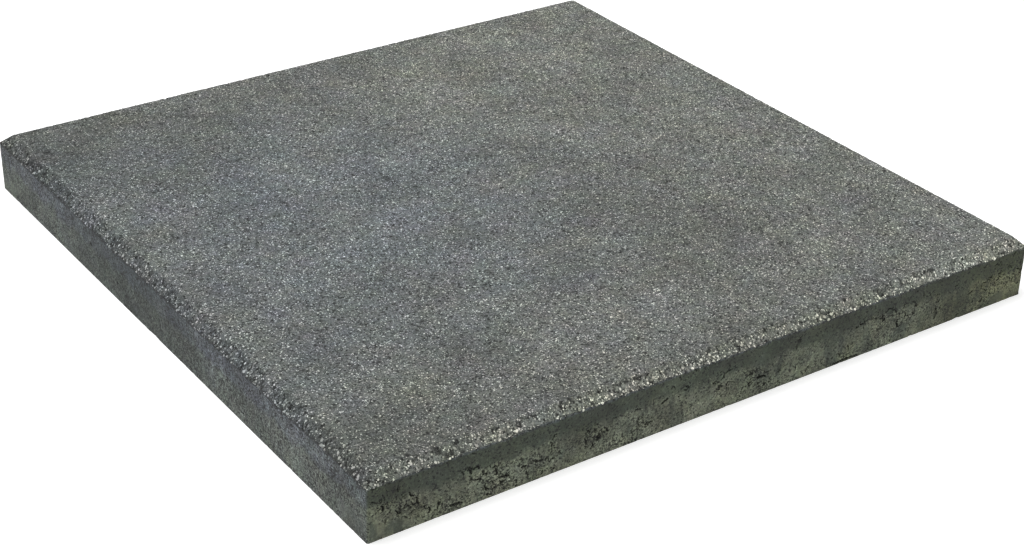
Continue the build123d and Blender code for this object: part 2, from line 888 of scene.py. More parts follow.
@dataclass(frozen=True)
class Mottling:
    """Slow changes of colour over the face, which its paste and its grit share, and painted
    light on its front and left bevels.

    Attributes:
        warm: tint outside the stains.
        front: painted light on the front bevel, a tint that makes it lighter.
        left: painted light on the left bevel, a tint that makes it lighter and bluer as a painted
            reflection of the sky.
        left: tint of the left bevel.
        rim: where the bevels' tints start and where they are full, in mm along each axis.
        stains: the stains.
    """

    warm: Triple = (0.91, 0.929, 0.897)
    front: Triple = (1.19, 1.2, 1.135)
    left: Triple = (1.11, 1.12, 1.165)
    rim: tuple[float, float] = (-242.5, -245.5)
    stains: tuple[Stain, ...] = (
        Stain((-0.12, 0.02, 0.04), 0.26, (0.96, 1.01, 1.12)),
        Stain((0.07, -0.08, 0.04), 0.11, (0.82, 0.82, 0.82)),
        Stain((-0.25, 0.27, 0.04), 0.27, (0.72, 0.73, 0.72)),
        Stain((-0.24, -0.27, 0.04), 0.18, (0.8, 0.81, 0.79)),
        Stain((0.15, 0.16, 0.04), 0.2, (1.16, 1.16, 1.13)),
        Stain((0.33, -0.1, 0.04), 0.34, (1.14, 1.14, 1.13)),
        Stain((-0.26, 0.15, 0.04), 0.11, (0.97, 1.0, 1.06)),
        Stain((-0.26, -0.16, 0.04), 0.11, (0.97, 1.0, 1.06)),
    )

    def over(self, graph: Graph, colour: Socket) -> Socket:
        """The colour with the mottling on it.

        Args:
            graph: the finish's graph.
            colour: the colour without it.

        Returns:
            The mottled colour.
        """
        colour = graph.tinted(colour, self.warm)
        # Painted light: the front bevel is painted lighter, and the left bevel lighter and bluer as a
        # painted reflection of the sky.
        for axis, tint in (("Y", self.front), ("X", self.left)):
            colour = graph.tinted(colour, tint, graph.along(axis).eased(*self.rim))
        wander = graph.noise(size=60.0, shift=3.1, detail=3.0, rough=0.6) - 0.5
        for stain in self.stains:
            colour = stain.over(graph, colour, wander)
        colour = graph.clouded(colour, size=32.0, strength=0.36, shift=2.7)
        blotch = graph.noise(size=55.0, shift=7.7, detail=3.0, rough=0.6)
        return graph.scaled(colour, 0.5 + blotch * 0.95)


@dataclass(frozen=True)
class BlastedPaste:
    """Cement paste with sand and fine grit in it, roughened by blasting.

    Attributes:
        dark: colour of the paste's darkest sand, which also stands for painted shade in the
        hollows between grains.
        plain: colour of most of its sand.
        pale: colour of its palest sand.
        mottling: slow changes of colour.
    """

    dark: Triple = (0.055, 0.059, 0.055)
    plain: Triple = (0.225, 0.233, 0.222)
    pale: Triple = (0.95, 0.94, 0.885)
    mottling: Mottling = field(default_factory=Mottling)

    def material(self) -> bpy.types.Material:
        """Builds the material.

        Returns:
            The material, which reads the mark hollow.
        """
        graph = Graph(bpy.data.materials.new("blasted_paste"))
        dome, shade = graph.cells(size=0.8)
        lump, kind = graph.cells(size=1.9, shift=4.3)
        chip, pit = graph.cells(size=1.3, shift=6.7)
        fine = graph.noise(size=0.5, shift=1.3)
        sandy = (shade * 0.9 + kind * 0.12).eased(0.08, 0.62)
        colour = graph.mix(sandy, self.dark, self.plain)
        # The tops of the palest grains of sand, and bright chips among them.
        bright = graph.math("MAXIMUM", shade + dome * 0.5 - 1.25, chip * 0.3 - pit - 0.14)
        colour = graph.mix(bright.eased(0.0, 0.03), colour, self.pale)
        # Painted shade: the mesh's hollows and small pits among the grains are darkened, and each
        # grain is painted lighter on its top and darker at its rim. The mark hollow also carries the
        # bevel's painted light and shade.
        dark = (1.0 - graph.carried("hollow") * 0.75) * (1.0 - pit.eased(0.9, 0.93) * 0.85)
        colour = graph.scaled(colour, (0.48 + dome * 0.88) * dark)
        height = dome * 0.26 + shade * 0.2 + lump * 0.2 + kind * 0.08 + fine * 0.12
        return graph.finish(self.mottling.over(graph, colour), 0.8 + fine * 0.15, height)


@dataclass(frozen=True)
class FormedWall:
    """Concrete as the mould's plates left it: a fine facing above, a coarse core below.

    Attributes:
        facing_depth: how far down the facing reaches from the bevel's foot, in mm.
        wall_top: height of the bevel's foot, in mm.
        facing: facing colour on a close-textured and on an open-textured wall.
        core: core colour on a close-textured and on an open-textured wall. Both pairs differ
        partly with the concrete and partly as painted light and shade, and the close wall's blue
        cast is partly a painted reflection of the sky.
        rich: colour where paste has run over an open-textured core.
        stains: broad patches where the colour differs.
        blur: half the height over which facing and core merge, in mm.
        drape: how far the line between them moves for a wander of 1, in mm.
    """

    facing_depth: float
    wall_top: float
    facing: tuple[Triple, Triple] = ((0.0915, 0.1035, 0.1125), (0.0515, 0.0618, 0.0445))
    core: tuple[Triple, Triple] = ((0.097, 0.11, 0.1), (0.1262, 0.1388, 0.1012))
    rich: Triple = (0.056, 0.0665, 0.0525)
    stains: tuple[Stain, ...] = (
        Stain((-0.25, 0.047, 0.012), 0.12, (0.6, 0.625, 0.61)),
        Stain((-0.25, -0.25, 0.036), 0.045, (0.82, 0.84, 0.79)),
        Stain((-0.25, -0.2, 0.0), 0.1, (1.12, 1.1, 1.07)),
        Stain((-0.25, 0.25, 0.02), 0.09, (1.08, 1.08, 1.04)),
        Stain((0.25, -0.25, 0.012), 0.13, (0.8, 0.78, 0.64)),
        Stain((0.03, -0.25, 0.012), 0.06, (0.8, 0.81, 0.8)),
    )
    blur: float = 3.0
    drape: float = 18.0

    def material(self) -> bpy.types.Material:
        """Builds the material.

        Returns:
            The material, which reads the marks tone, loose and hollow.
        """
        graph = Graph(bpy.data.materials.new("formed_wall"))
        openness, loose, up = graph.carried("tone"), graph.carried("loose"), graph.along("Z")
        wander = graph.noise(size=16.0, shift=4.4, detail=4.0, rough=0.65) - 0.5
        line = self.wall_top - self.facing_depth
        facing = (up + wander * self.drape).eased(line - self.blur, line + self.blur)
        colour = self._colour(graph, openness, loose, facing)
        for stain in self.stains:
            colour = stain.over(graph, colour, wander * 0.4)
        streaks = graph.noise(size=1.5, shift=2.2, detail=3.0, rough=0.65, stretch=(1.0, 1.0, 0.12))
        blotch = graph.noise(size=6.0, shift=8.8, detail=4.0, rough=0.7)
        patch = graph.noise(size=22.0, shift=6.6)
        broad = graph.noise(size=50.0, shift=1.8, detail=3.0)
        dome, sand = graph.cells(size=0.85, shift=9.2)
        speck = graph.cells(size=1.0, shift=3.3)[1]
        # How light the grain is. It varies least on an open wall and where the mix is tight.
        contrast = (2.2 - openness * (1.2 + facing * 0.3)) * (1.0 - loose.eased(0.0, -0.8) * 0.55)
        level = (sand - 0.5) * 1.15 + (streaks - 0.5) * 0.95 + (blotch - 0.5) * (1.0 - openness * 0.65)
        level = (1.0 + level * contrast + (patch - 0.5) * (openness * 0.4 + 1.5)) * (0.3 + broad * 1.4)
        # Pale specks, and painted light from the floor on the lower part of an open wall.
        level = level * (1.0 + speck.eased(0.08, 0.06) * (0.6 - openness * 0.15))
        level = level * (1.0 + up.eased(15.0, 1.0) * openness * 0.52)
        # Painted shade in pinholes, which the mesh is too coarse for, and in its own gaps and
        # bitten-back foot; the mark hollow also paints a highlight on the gaps' lips.
        grit = graph.noise(size=1.1, shift=5.5, rough=0.5)
        holes = graph.math("MAXIMUM", speck + loose * 0.1 - 0.23, grit + loose * 0.07)
        holes = holes.eased(0.66, 0.69) * (0.5 + openness * 0.5)
        dark = (1.0 - holes * 0.8) * (1.0 - graph.carried("hollow") * 0.9)
        height = streaks * 0.06 + sand * 0.05 + dome * 0.08 + blotch * 0.2 - holes * 0.4
        return graph.finish(graph.scaled(colour, level * dark), 0.8 + sand * 0.12, height)

    def _colour(self, graph: Graph, openness: Value, loose: Value, facing: Value) -> Socket:
        """The concrete's colour before stains and grain, which also carries painted light that
        differs with the wall's openness.

        Args:
            graph: the finish's graph.
            openness: how open the wall's texture is.
            loose: how loosely the grains lie.
            facing: 1 on the facing and 0 on the core.

        Returns:
            The colour.
        """
        runs = graph.noise(size=22.0, shift=6.1, detail=3.0, rough=0.6, stretch=(1.0, 1.0, 0.25))
        rich = (runs - loose * 0.1).eased(0.52, 0.62) * openness * 0.8
        core = graph.mix(rich, graph.mix(openness, *self.core), self.rich)
        colour = graph.mix(facing, core, graph.mix(openness, *self.facing))
        return graph.clouded(colour, size=18.0, strength=0.34, shift=7.3)


@dataclass(frozen=True)
class OpenBed:
    """The underside: core concrete struck off and left open.

    Attributes:
        dark: colour of its hollows.
        light: colour of its grains.
    """

    dark: Triple = (0.075, 0.079, 0.067)
    light: Triple = (0.21, 0.216, 0.188)

    def material(self) -> bpy.types.Material:
        """Builds the material.

        Returns:
            The material.
        """
        graph = Graph(bpy.data.materials.new("open_bed"))
        dome, shade = graph.cells(size=4.2)
        sand = graph.cells(size=1.2, shift=5.1)[1]
        fine = graph.noise(size=0.9, shift=1.9, detail=3.0)
        broad = graph.noise(size=45.0, shift=2.9, detail=5.0, rough=0.65)
        gaps = graph.noise(size=3.0, shift=3.9, detail=3.0, rough=0.6).eased(0.6, 0.66)
        mixed = shade * 0.35 + sand * 0.3 + fine * 0.25 + broad * 0.9 - 0.4
        colour = graph.mix(mixed.eased(0.05, 0.9), self.dark, self.light)
        colour = graph.clouded(colour, size=45.0, strength=0.3, shift=8.3)
        # Painted shade in the bed's gaps.
        colour = graph.scaled(colour, 1.0 - gaps * 0.75)
        height = dome * 0.5 + sand * 0.15 + fine * 0.2 - gaps * 1.2
        return graph.finish(colour, 0.85 + fine * 0.12, height)


@dataclass(frozen=True)
class BrokenStone:
    """The broken faces of one sort of grit.

    Attributes:
        name: what the sort is called.
        dark: its darkest stones.
        light: its lightest stones.
        gloss: how smooth its faces are, from 0 to 1.
        mottling: slow changes of colour, shared with the paste round it.
    """

    name: str
    dark: Triple
    light: Triple
    gloss: float
    mottling: Mottling = field(default_factory=Mottling)

    def material(self) -> bpy.types.Material:
        """Builds the material.

        Returns:
            The material, which reads the mark tone.
        """
        graph = Graph(bpy.data.materials.new(self.name))
        dust = graph.noise(size=0.7, shift=4.1)
        shade = graph.carried("tone") * 0.9 + dust * 0.4 - 0.15
        colour = self.mottling.over(graph, graph.mix(shade, self.dark, self.light))
        return graph.finish(colour, 0.85 - self.gloss * 0.5 + dust * 0.2, dust * 0.12)


# --- the body ------------------------------------------------------------------------------


class Side(IntEnum):
    """The slab's sides, in the order in which its outline passes them."""

    FRONT = 0
    RIGHT = 1
    BACK = 2
    LEFT = 3


class Wear(IntEnum):
    """How each part of the casting's surface was left, in the order of its mesh's materials."""

    BLASTED = 0
    FORMED = 1
    STRUCK = 2


@dataclass(frozen=True)
class Flank:
    """One of the four walls, with the bevel over it.

    Attributes:
        side: which side it is on.
        openness: how open the wall's texture is, from 0 for close to 1 for open.
        voids: the gaps in it.
        pale: the palest grit's share in the bevel.
        painted_light_and_shade: painted light and shade on the bevel, from -1 for painted light to 1
            for painted
        shade.
    """

    side: Side
    openness: float
    voids: Voids
    pale: float
    painted_light_and_shade: float


# Long hollows in the front wall: distance from its left end, height and length, in mm.
HOLLOWS = (
    (52.0, 4.0, 8.0),
    (84.0, 10.5, 7.0),
    (99.0, 12.0, 3.0),
    (198.0, 20.5, 4.5),
    (271.0, 12.0, 7.0),
    (333.0, 1.2, 21.0),
)
FRONT_VOIDS = Voids(
    count=710, crowd=0.6, longest=11, widest=0.75, seed=292, lean=0.25, hollows=HOLLOWS
)
RIGHT_VOIDS = Voids(count=520, crowd=0.5, longest=11, widest=0.78, seed=200)
BACK_VOIDS = Voids(count=120, crowd=0.3, longest=9, widest=0.8, seed=300)
LEFT_VOIDS = Voids(count=60, crowd=0.2, longest=6, widest=0.7, seed=400)
# The last number of each flank paints light or shade on its bevel: the front bevel is painted lighter,
# the left one darker.
FLANKS = (
    Flank(Side.FRONT, openness=1.0, voids=FRONT_VOIDS, pale=0.57, painted_light_and_shade=-0.4),
    Flank(Side.RIGHT, openness=0.8, voids=RIGHT_VOIDS, pale=0.5, painted_light_and_shade=-0.1),
    Flank(Side.BACK, openness=0.3, voids=BACK_VOIDS, pale=0.42, painted_light_and_shade=0.3),
    Flank(Side.LEFT, openness=0.0, voids=LEFT_VOIDS, pale=0.5, painted_light_and_shade=0.8),
)


def side_of(plan: Array) -> Array:
    """The number of the Side that each place is nearest."""
    turn = np.arctan2(plan[:, 1], plan[:, 0]) / QUARTER_TURN
    return np.round(turn + 1.0).astype(int) % len(Side)


@dataclass(frozen=True)
class Tile:
    """A rectangle of the bake map, which is 1 wide and 1 high.

    Attributes:
        left: where it starts across.
        bottom: where it starts up.
        width: how wide it is.
        height: how high it is.
    """

    left: float
    bottom: float
    width: float
    height: float

    def at(self, shares: Array) -> Array:
        """Places on the map, from shares of the tile's width and height."""
        return np.array([self.left, self.bottom]) + shares * np.array([self.width, self.height])


@dataclass
class SlabBody:
    """The casting itself, as one closed mesh.

    Attributes:
        form: its form.
        flanks: its flanks, in the order of their sides.
        facing_depth: how far down the facing reaches from the bevel's foot, in mm.
        edge_step: distance between points where the patches meet, in mm.
        gap_step: distance between a wall's points in and beside its gaps, in mm.
        wall_step: distance between its other points, in mm.
        gap_slope: how much deeper a gap gets for each mm inward from its rim.
        lip: how far the close points reach outside a gap's rim, in mm.
        corner_wear: how far the upright corners are worn back at most, in mm.
        bed_relief: half the depth of the bed's waves, in mm.
        wall_relief: half the depth of a wall's waves, in mm.
        lumps: half the depth of a close wall's lumps, and what an open one has more, in mm.
        sharp: angle over which an edge of the mesh is shaded sharp, in degrees.
        seed: seed of everything random on it.
    """

    form: SlabForm
    flanks: tuple[Flank, ...] = FLANKS
    facing_depth: float = 13.6
    edge_step: float = 1.05
    gap_step: float = 0.38
    wall_step: float = 2.2
    gap_slope: float = 3.2
    lip: float = 0.35
    corner_wear: float = 0.5
    bed_relief: float = 0.12
    wall_relief: float = 0.06
    lumps: tuple[float, float] = (0.03, 0.05)
    sharp: float = 28.0
    seed: int = 20

    # Rings of points inside the outline: inset of each and step along it, in mm.
    FACE_RINGS: ClassVar[Pairs] = (
        (0.9, 1.3), (1.8, 1.3), (2.8, 1.3), (3.8, 1.4), (4.8, 1.4),
        (5.6, 1.4), (6.3, 1.4), (7.2, 1.6), (9.4, 2.4), (12.2, 3.2),
    )
    BED_RINGS: ClassVar[Pairs] = ((3.0, 3.0), (7.0, 5.0))
    # Points spread inside the rings, and close ones for the face's hollows: inset and step.
    FACE_SPREAD: ClassVar[tuple[float, float]] = (15.0, 4.0)
    HOLLOW_SPREAD: ClassVar[tuple[float, float]] = (1.5, 0.8)
    BED_SPREAD: ClassVar[tuple[float, float]] = (11.0, 6.5)
    # How far a wall's inner points keep from its lower left and upper right, in mm.
    LOW_MARGIN: ClassVar[tuple[float, float]] = (0.6, 0.7)
    HIGH_MARGIN: ClassVar[tuple[float, float]] = (0.6, 0.9)
    # How many points stand one over another on an upright corner.
    CORNER_LEVELS: ClassVar[int] = 18
    # Depths between which the face is neither plain nor a hollow, in mm.
    SHALLOW: ClassVar[tuple[float, float]] = (0.01, 0.02)
    # Depth at which a hollow of the face and a gap in a wall are marked in full as painted
    # shade, and what the lip of a gap counts as, in mm, which paints a highlight on it.
    HOLLOW_FULL: ClassVar[float] = 0.7
    GAP_FULL: ClassVar[float] = 0.25
    LIP_PAINTED_HIGHLIGHT: ClassVar[float] = -0.08
    # Relief of the bed and the walls, and the wear of the upright corners.
    BED_WAVES: ClassVar[Ripple] = Ripple(17.0, 31)
    WALL_WAVES: ClassVar[Ripple] = Ripple(38.0, 51)
    WALL_LUMPS: ClassVar[Ripple] = Ripple(5.5, 52)
    CORNER_WEAR: ClassVar[Ripple] = Ripple(2.7, 53)
    # The bake map: the four walls one over another, then the face, and the bed beside it.
    WALL_TILE: ClassVar[Tile] = Tile(0.003, 0.004, 0.994, 0.072)
    WALL_TILE_STEP: ClassVar[float] = 0.08
    FACE_TILE: ClassVar[Tile] = Tile(0.003, 0.335, 0.66, 0.66)
    BED_TILE: ClassVar[Tile] = Tile(0.672, 0.67, 0.325, 0.325)

    def __post_init__(self) -> None:
        """Starts the random numbers and walks the outline where the patches meet."""
        self.rng = np.random.default_rng(self.seed)
        self.along = self.form.outline().stations(self.edge_step)
        self.rim, self.out = self.form.outline().walk(self.along)

    def build(self) -> bpy.types.Object:
        """Builds the mesh and dresses it.

        Returns:
            The object.
        """
        item = welded([self.face(), self.sides(), self.bed()], "slab_body")
        wall = FormedWall(self.facing_depth, self.form.wall_top)
        for finish in (BlastedPaste(), wall, OpenBed()):
            item.data.materials.append(finish.material())
        item.data.polygons.foreach_set("use_smooth", [True] * len(item.data.polygons))
        item.data.set_sharp_from_angle(angle=math.radians(self.sharp))
        return item

    def rings(self, lines: Pairs) -> Array:
        """Places on rings inside the outline, each a little out of line.

        Args:
            lines: inset of each ring and step along it, in mm.

        Returns:
            Rows of x and y.
        """
        rows = []
        for inset, step in lines:
            outline = self.form.outline(inset)
            along = outline.stations(step)
            places, out = outline.walk(along + self.rng.uniform(-0.25, 0.25, len(along)) * step)
            rows.append(places + out * self.rng.uniform(-0.2, 0.2, (len(places), 1)))
        return np.vstack(rows)

    def spread(self, inset: float, step: float) -> Array:
        """Places over the square that lies inset from the outline."""
        corner = np.full(2, self.form.half - inset)
        return scattered(self.rng, -corner, corner, step)

    def face(self) -> Patch:
        """The blasted face with its bevel.

        Returns:
            The patch.
        """
        form, (plain, hollow) = self.form, self.SHALLOW
        rings = self.rings(self.FACE_RINGS)
        coarse = self.spread(*self.FACE_SPREAD)
        fine = self.spread(*self.HOLLOW_SPREAD)
        coarse, fine = coarse[form.plucked(coarse) < plain], fine[form.plucked(fine) > hollow]
        plan = np.vstack([self.rim, rings, coarse, fine])
        points = np.column_stack([plan, form.face_level(plan)])
        points[: len(self.rim), :2] = self.rim - self.out * form.foot_bite(self.rim)[:, None]
        # Painted light and shade: the bevel is painted darker or lighter with its side and darkest at
        # its foot as painted shadow, and the face's hollows are painted darker.
        shade = np.array([flank.painted_light_and_shade for flank in self.flanks])[side_of(plan)]
        inset = form.inset(plan)
        painted_light_and_shade = 0.6 * shade * eased(form.bevel + 1.5, form.bevel - 1.0, inset)
        painted_light_and_shade = painted_light_and_shade + (0.6 + 0.4 * shade) * eased(1.3, 0.3, inset)
        dark = np.clip(form.plucked(plan) / self.HOLLOW_FULL + painted_light_and_shade, -1.0, 1.0)
        sheet = self.FACE_TILE.at(plan / form.side + 0.5)
        return Patch(points, triangles(plan), sheet, {"hollow": dark}, Wear.BLASTED)

    def bed(self) -> Patch:
        """The underside, struck off, with chips along its edge.

        Returns:
            The patch.
        """
        form = self.form
        plan = np.vstack([self.rim, self.rings(self.BED_RINGS), self.spread(*self.BED_SPREAD)])
        inset = form.inset(plan)
        chip = form.bed_chip(plan) * eased(2.4, 0.0, inset)
        relief = self.bed_relief * (1.0 + self.BED_WAVES.at(plan)) * eased(2.0, 9.0, inset)
        points = np.column_stack([plan, chip + relief])
        points[: len(self.rim), :2] = self.rim - self.out * form.bed_chip(self.rim)[:, None]
        sheet = self.BED_TILE.at(plan / form.side + 0.5)
        return Patch(points, triangles(plan)[:, ::-1], sheet, {}, Wear.STRUCK)

    def flat_wall(self, flank: Flank) -> tuple[Array, Array, Array]:
        """One wall before it is folded round the slab.

        Args:
            flank: which wall.

        Returns:
            Rows of distance along the outline and height, how deep each place lies in a gap, a
            little below 0 on its lip to paint a highlight there, and how loosely the grains lie there.
        """
        form, outline, voids = self.form, self.form.outline(), flank.voids
        corner = np.array([outline.straight, form.wall_top])
        low, high = np.array(self.LOW_MARGIN), corner - np.array(self.HIGH_MARGIN)
        fine = scattered(self.rng, low, high, self.gap_step)
        opening = voids.opening(fine, corner)
        coarse = scattered(self.rng, low, high, self.wall_step)
        apart = voids.opening(coarse, corner) < -2.0 * self.lip
        flat = np.vstack([fine[opening > -self.lip], coarse[apart]])
        opening = opening[opening > -self.lip]
        deep = np.where(opening > 0.0, self.gap_slope * opening, self.LIP_PAINTED_HIGHLIGHT)
        deep = np.append(deep, np.zeros(int(apart.sum())))
        # The facing is a finer mix, so its gaps are shallower and its grains lie closer.
        line = form.wall_top - self.facing_depth
        facing = eased(line - 3.0, form.wall_top - 3.0, flat[:, 1])
        loose = voids.loose(flat) * (1.0 - 0.8 * facing) - voids.tight(flat, corner)
        flat[:, 0] += flank.side * outline.quarter
        return flat, deep * (1.0 - 0.5 * facing), loose

    def sides(self) -> Patch:
        """The four walls, unrolled into one strip and folded round the slab.

        Returns:
            The patch.
        """
        form, outline = self.form, self.form.outline()
        along = np.append(self.along, outline.length)
        arc = np.linspace(outline.straight, outline.quarter, outline.ARC_STEPS + 1)
        columns = np.append(0.0, np.add.outer(np.arange(len(Side)) * outline.quarter, arc))
        ups = np.linspace(0.0, form.wall_top, self.CORNER_LEVELS)[1:-1]
        edges = [np.column_stack([along, np.full(len(along), v)]) for v in (0.0, form.wall_top)]
        edges.append(np.stack(np.meshgrid(columns, ups), axis=-1).reshape(-1, 2))
        walls = [self.flat_wall(flank) for flank in self.flanks]
        flat = np.vstack([*edges, *(w[0] for w in walls)])
        plain = np.zeros(sum(len(e) for e in edges))
        deep, loose = (np.concatenate([plain, *(w[k] for w in walls)]) for k in (1, 2))
        return self._folded(flat, deep, loose)

    def _folded(self, flat: Array, deep: Array, loose: Array) -> Patch:
        """The unrolled walls, folded round the slab.

        Args:
            flat: rows of distance along the outline and height, in mm.
            deep: how deep each point lies in a gap, in mm, below 0 on its lip, where it paints a
                highlight.
            loose: how loosely the grains lie at each point.

        Returns:
            The patch.
        """
        form, outline = self.form, self.form.outline()
        plan, normals = outline.walk(flat[:, 0])
        up = flat[:, 1]
        side = np.clip(np.floor(flat[:, 0] / outline.quarter), 0, len(Side) - 1).astype(int)
        rest = flat[:, 0] - side * outline.quarter
        tones = np.array([flank.openness for flank in self.flanks])
        share = eased(outline.straight, outline.quarter, rest)
        tone = tones[side] * (1.0 - share) + tones[(side + 1) % len(Side)] * share
        # Nearness to the bed, to the bevel's foot, to neither and to an upright corner.
        low, high = eased(2.2, 0.0, up), eased(form.wall_top - 1.5, form.wall_top, up)
        between = (1.0 - low) * (1.0 - high)
        corner = eased(3.0, 0.0, np.minimum(rest, np.abs(rest - outline.straight)))
        wear = self.CORNER_WEAR.at(np.column_stack([plan, up]))
        worn = self.corner_wear * eased(0.0, 0.8, wear) * corner
        uneven = self.wall_relief * (1.0 + self.WALL_WAVES.at(flat))
        lumps = self.lumps[0] + self.lumps[1] * tone
        uneven = uneven + lumps * (1.0 + self.WALL_LUMPS.at(flat))
        chip, bite = form.bed_chip(plan) * low, form.foot_bite(plan) * high
        back = np.maximum(deep, 0.0) + chip + bite + (uneven + worn) * between
        points = np.column_stack([plan - normals * back[:, None], up + chip])
        points[:, 2] += form.foot_rise(plan) * high
        # The mark hollow is painted shade in the gaps and in the bitten-back foot and a painted
        # highlight on the gaps' lips; it also darkens the upright corners where they are worn back.
        hollow = np.clip(deep / self.GAP_FULL + 0.5 * bite + worn * (0.4 + tone), -1.0, 1.0)
        return self._tiled(flat, points, {"hollow": hollow, "tone": tone, "loose": loose})

    def _tiled(self, flat: Array, points: Array, marks: Mapping[str, Array]) -> Patch:
        """The folded walls, each on its own tile of the bake map.

        Args:
            flat: rows of distance along the outline and height, in mm.
            points: rows of x, y and z, in mm.
            marks: numbers at each point, by name.

        Returns:
            The patch.
        """
        faces, quarter = triangles(flat), self.form.outline().quarter
        row = np.floor(flat[faces][:, :, 0].mean(axis=1) / quarter).astype(int)
        # A point between two walls is wanted twice, once on each wall's tile.
        keys = faces + row[:, None] * len(flat)
        _, first, place = np.unique(keys, return_index=True, return_inverse=True)
        own, row = faces.ravel()[first], row[first // 3]
        across = (flat[own, 0] - row * quarter) / quarter
        sheet = self.WALL_TILE.at(np.column_stack([across, flat[own, 1] / self.form.wall_top]))
        sheet[:, 1] += row * self.WALL_TILE_STEP
        carried = {label: values[own] for label, values in marks.items()}
        return Patch(points[own], place.reshape(faces.shape), sheet, carried, Wear.FORMED)


# --- grit ----------------------------------------------------------------------------------


def block() -> tuple[Array, Array]:
    """A cube in a unit ball.

    Returns:
        Rows of its corners, and rows of three indices for its triangles.
    """
    corners = np.array(list(np.ndindex(2, 2, 2))) * 2.0 - 1.0
    sides = ((0, 1, 3, 2), (4, 6, 7, 5), (0, 4, 5, 1), (2, 3, 7, 6), (0, 2, 6, 4), (1, 5, 7, 3))
    halves = [(s[0], s[k], s[k + 1]) for s in sides for k in (1, 2)]
    return corners / math.sqrt(3.0), np.array(halves)


def pebble() -> tuple[Array, Array]:
    """An icosahedron in a unit ball.

    Returns:
        Rows of its corners, and rows of three indices for its triangles.
    """
    rise = 1.0 / math.sqrt(5.0)
    angle = np.arange(5) * math.tau / 5
    ring = np.column_stack([np.cos(angle), np.sin(angle)]) * 2.0 * rise
    turned = np.column_stack([np.cos(angle + math.pi / 5), np.sin(angle + math.pi / 5)]) * 2.0 * rise
    upper = np.column_stack([ring, np.full(5, rise)])
    lower = np.column_stack([turned, np.full(5, -rise)])
    corners = np.vstack([[0.0, 0.0, 1.0], upper, lower, [0.0, 0.0, -1.0]])
    faces = []
    for k in range(5):
        a, b, c, d = 1 + k, 1 + (k + 1) % 5, 6 + k, 6 + (k + 1) % 5
        faces += [(0, a, b), (a, c, b), (b, c, d), (11, d, c)]
    return corners, np.array(faces)


@dataclass(frozen=True)
class Sort:
    """One sort of grit.

    Attributes:
        finish: how its broken faces look.
        share: its share of the stones in the face.
        least: smallest stone, in mm across.
        most: largest stone, in mm across.
    """

    finish: BrokenStone
    share: float
    least: float
    most: float


